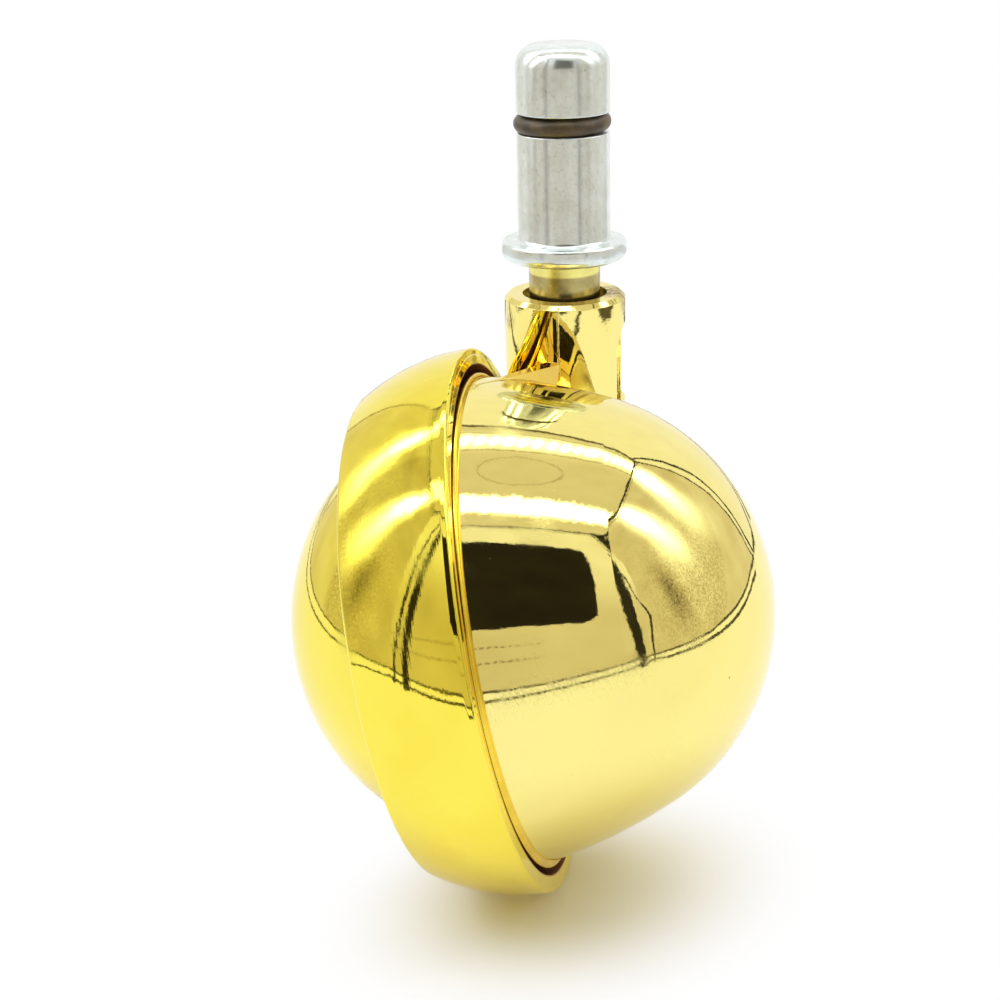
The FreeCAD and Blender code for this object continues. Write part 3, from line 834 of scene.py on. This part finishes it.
# %% Front wall and roof
STITCH_LOW, STITCH_HIGH, STITCH_WIDTH, STITCH_PITCH, STITCH_END = -17.0, 2.0, 2.4, 5.0, 60.0
DULL_AT, DULL_SIZE = (-100, 62), (30, 45)


def front_wall():
    """Uneven cloth, dimmer toward the floor, with two dashed lines that stop at STITCH_END."""
    cloth = Finish("tent_front")
    x, _, z = cloth.parts(cloth.place)
    level = cloth.noise(14.0, 4.0) * 0.22 + 0.56 + z.step(10.0 * MM, 150.0 * MM) * 0.26
    dashes = (x / (STITCH_PITCH * MM)).fraction().step(0.35, 0.5)
    reach = 1.0 - (x - STITCH_END * MM).step(0.0, 12.0 * MM)
    lines = stripe(z, STITCH_HIGH, STITCH_WIDTH, 0.6) + stripe(z, STITCH_LOW, STITCH_WIDTH, 0.6)
    dull = blob(x, z, DULL_AT, DULL_SIZE)
    return cloth.glow(foot_lit(level - lines * dashes * reach * 0.35 - dull * 0.12, z))


LAMP_PITCH, LAMP_ROW_Y, LAMP_ROW_SLANT = 17.2, 131.0, 0.12
LAMP_SPREAD_X, LAMP_SPREAD_Y, STRIP_SPREAD = 17.0, 300.0, 900.0
BLURRED_ROW_Y = -116.0
HOLE_X, HOLE_Y, HOLE_R = 40.0, 10.0, 53.0


def lamp_roof():
    """Dim cloth + exp(-distance^2 / spread) for lamps and strip + blurred row - a hole's rim."""
    cloth = Finish("tent_roof")
    x, y, _ = cloth.parts(cloth.place)
    beside = ((x / (LAMP_PITCH * MM)).fraction() - 0.5) * LAMP_PITCH
    row = y - (x * LAMP_ROW_SLANT + LAMP_ROW_Y * MM)
    ahead = row / MM
    dots = (-(beside * beside / LAMP_SPREAD_X + ahead * ahead / LAMP_SPREAD_Y)).exp()
    strip = (-(ahead * ahead / STRIP_SPREAD)).exp()
    edges = stripe(row, -45.0, 5.0, 1.5) + stripe(row, 42.0, 5.0, 1.5)
    threads = cloth.noise(1.0, 3.0, 0.75, cloth.moved(unit=(1.8 * MM, 26.0 * MM, 1.0)))
    frayed = (threads - 0.5) * (66.0 * MM)
    from_row = (y - BLURRED_ROW_Y * MM).size() + frayed
    blurred = 1.0 - from_row.step(22.0 * MM, 34.0 * MM)
    hole_x, hole_y = x - HOLE_X * MM, y - HOLE_Y * MM
    rim = stripe((hole_x * hole_x + hole_y * hole_y) ** 0.5, HOLE_R, 2.4, 0.7)
    level = cloth.noise(20.0, 3.0) * 0.14 + 0.66 - rim * 0.26 - edges * 0.35
    return cloth.glow(level + strip * 1.5 + dots * 11.0 + blurred * 3.6)


print("front wall and roof can be made")

# %% [markdown]
# ## Hanging the walls
# The walls, the roof and the dark opening are hung one by one. The opening's outline has soft
# corners and leans, as the photograph mirrors it, so it is a card of its own just inside the
# front wall.


# %% Walls, roof and opening
def plain_cloth(name, level, spread, scale=25.0):
    """One level with noise of a spread about it."""
    cloth = Finish(name)
    return cloth.glow(cloth.noise(scale, 4.0) * spread + (level - spread / 2))


dark_thread = plain_cloth("tent_seam", 0.03, 0.02)
brown_thread = plain_cloth("tent_seam_brown", 0.1, 0.06)
olive_thread = plain_cloth("tent_seam_soft", 0.16, 0.12, 60.0)
upright("tent_right_wall", (RIGHT, FRONT), (RIGHT, BACK), FLOOR_Z, TOP, right_cloth)
upright("tent_left_wall", (LEFT, FRONT), (LEFT, BACK), FLOOR_Z, TOP, left_cloth)
upright("tent_back_wall", (LEFT, BACK), (RIGHT, BACK), FLOOR_Z, TOP,
        plain_cloth("tent_back", 0.95, 0.14))
upright("tent_front_wall", (LEFT, FRONT), (RIGHT, FRONT), FLOOR_Z, TOP, front_wall())
card("tent_roof", [(LEFT, FRONT, TOP), (RIGHT, FRONT, TOP), (RIGHT, BACK, TOP), (LEFT, BACK, TOP)],
     lamp_roof())
slot_corners = [(-52, 26), (101, 26), (110, 29), (116, 36), (119, 48), (128, 94),
                (139, 166), (142, 198), (140, 210), (134, 217), (124, 221), (-52, 237)]
card("tent_slot", [(x, FRONT + 2.0, z) for x, z in slot_corners],
     plain_cloth("tent_slot", 0.02, 0.02))
print("tent walls hung, opening of", len(slot_corners), "corners")

# %% [markdown]
# ## Seams of the tent
# A polished ball squeezes the whole tent into itself, and its seams are the thin dark lines that
# cross the gold. They wander as sewn cloth does. Each upright seam follows a few places found by
# tracing the photograph's lines back to the wall that they mirror. The level seams run straight.

# %% Upright seams
SEAM_STAND = 1.5
# Name, wall, then places (across, height, width) from the floor up
UPRIGHT_SEAMS = [
    ("seam_right_near", "front", [
        (196, FLOOR_Z, 26), (190, -46, 27), (178, 30, 30), (179, 108, 22), (189, 185, 22),
        (203, 270, 22), (211, TOP, 16)]),
    ("seam_right_second", "front", [
        (219, 62, 5), (206, 92, 5), (192, 150, 5), (201, 250, 4), (214, TOP, 4)]),
    ("seam_right_corner", "right", [
        (-176, FLOOR_Z, 6), (-178, -23, 6), (-173, 29, 6), (-187, 62, 5)]),
    ("seam_left_near", "front", [
        (-134, FLOOR_Z, 16), (-137, -8, 18), (-132, 57, 20), (-125, 140, 17), (-121, 226, 11),
        (-118, TOP, 7)]),
    ("seam_left_second", "front", [
        (-168, FLOOR_Z, 6), (-166, -14, 8), (-157, 54, 9), (-156, 146, 8), (-142, 246, 6),
        (-130, TOP, 4)]),
    ("seam_right_far", "back", [
        (207, FLOOR_Z, 9), (206, -20, 9), (198, 30, 9), (190, 80, 9), (191, 145, 9),
        (194, 225, 8), (204, TOP, 8)]),
    ("seam_right_far_second", "right", [(BACK - 8, FLOOR_Z, 7), (BACK - 6, TOP, 6)]),
    ("seam_left_far", "left", [(BACK - 12, FLOOR_Z, 3), (BACK - 8, TOP, 3)]),
]
# Each wall's fixed axis, and the place on it just inside the wall
INSIDE = {"front": (1, FRONT + SEAM_STAND), "back": (1, BACK - SEAM_STAND),
          "left": (0, LEFT + SEAM_STAND), "right": (0, RIGHT - SEAM_STAND)}


def ribbon(name, wall, path):
    """A dark strip along a path of (across, height, width), half its width to each side."""
    axis, depth = INSIDE[wall]
    across, height, width = np.array(path, float).T
    outline = np.concatenate([
        np.stack([across - width / 2, height], axis=1),
        np.stack([across + width / 2, height], axis=1)[::-1]])
    card(name, np.insert(outline, axis, depth, axis=1), dark_thread)


for name, wall, path in UPRIGHT_SEAMS:
    ribbon(name, wall, path)
print("upright seams:", len(UPRIGHT_SEAMS))

# %% Level seams
for side, thick in (("right", 5.0), ("left", 2.4)):
    inside = INSIDE[side][1]
    ends = (inside, FRONT), (inside, BACK)
    for label, foot, head, thread in (
            ("low", FLOOR_Z + 3.0, FLOOR_Z + 3.0 + thick, brown_thread),
            ("lower", FLOOR_Z + 15.0, FLOOR_Z + 15.0 + thick * 0.8, brown_thread),
            ("top", TOP - 3.0 - thick * 2.6, TOP - 3.0, dark_thread),
            ("under", TOP - 25.0, TOP - 22.5, dark_thread)):
        upright("seam_%s_%s" % (side, label), *ends, foot, head, thread)
for side, thick, top_thread in (("front", 11.0, dark_thread), ("back", 20.0, olive_thread)):
    inside = INSIDE[side][1]
    ends = (LEFT, inside), (RIGHT, inside)
    for label, foot, head, thread in (
            ("low", FLOOR_Z + 3.0, FLOOR_Z + 7.0, brown_thread),
            ("lower", FLOOR_Z + 14.5, FLOOR_Z + 18.0, brown_thread),
            ("top", TOP - 4.0 - thick, TOP - 4.0, top_thread)):
        upright("seam_%s_%s" % (side, label), *ends, foot, head, thread)
inside = INSIDE["front"][1]
upright("seam_front_under", (LEFT, inside), (RIGHT, inside), TOP - 26.0, TOP - 23.0, dark_thread)
print("level seams hung on four walls")

# %% [markdown]
# ## Floor
# The castor stands on white paper. Near it the paper is lit by the tent and takes its shadow, and
# farther out the picture runs to white. A brighter light would give that too, but it would wash
# out the gold, so the far floor is white by itself, for the camera and for what the metal mirrors.

# %% Floor and room
SHADE_CENTRE, SHADE_INNER, SHADE_OUTER = (3.0, -29.0), 5.0, 24.0
ALONG_SHADE, ASIDE_SHADE = (0.56, 0.49), (-0.66, 0.75)
MIRROR_INNER, MIRROR_OUTER = 18.0, 50.0
FLOOR_REACH = 4000.0


def floor_paper():
    """Paper near the castor, mixed to white outside an ellipse (camera) or a circle (metal)."""
    paper = Finish("floor_paper")
    x, y, _ = paper.parts(paper.place)
    x, y = x - SHADE_CENTRE[0] * MM, y - SHADE_CENTRE[1] * MM
    along, aside = (x * u + y * v for u, v in (ALONG_SHADE, ASIDE_SHADE))
    from_shade = (along * along + aside * aside) ** 0.5
    from_ball = paper.far_from((BALL_CENTRE[0], BALL_CENTRE[1], FLOOR_Z))
    rays = paper.add("LightPath", {}, {}).outputs
    by_camera, by_metal = (Wire(paper, rays[kind]) for kind in ("Is Camera Ray", "Is Glossy Ray"))
    share = from_shade.step(SHADE_INNER * MM, SHADE_OUTER * MM) * by_camera
    share = share + from_ball.step(MIRROR_INNER * MM, MIRROR_OUTER * MM) * by_metal
    colour = paper.mix(paper.noise(30.0), (0.96, 0.96, 0.955, 1.0), (0.975, 0.975, 0.97, 1.0))
    lit = paper.node("BsdfDiffuse", {}, {"Color": colour})
    white = paper.node("Emission", {}, {"Color": (1.0, 1.0, 1.0, 1.0)})
    return paper.close(paper.node("MixShader", {}, {0: share, 1: lit, 2: white}))


floor_corners = [(a * FLOOR_REACH, b * FLOOR_REACH, FLOOR_Z)
                 for a, b in ((-1, -1), (1, -1), (1, 1), (-1, 1))]
card("floor", floor_corners, floor_paper(), seen=True)
world = bpy.data.worlds.new("white_room")
world.use_nodes = True
background = world.node_tree.nodes["Background"]
background.inputs["Color"].default_value = (1.0, 1.0, 1.0, 1.0)
background.inputs["Strength"].default_value = 1.0
bpy.context.scene.world = world
print("floor laid at", FLOOR_Z, "mm")
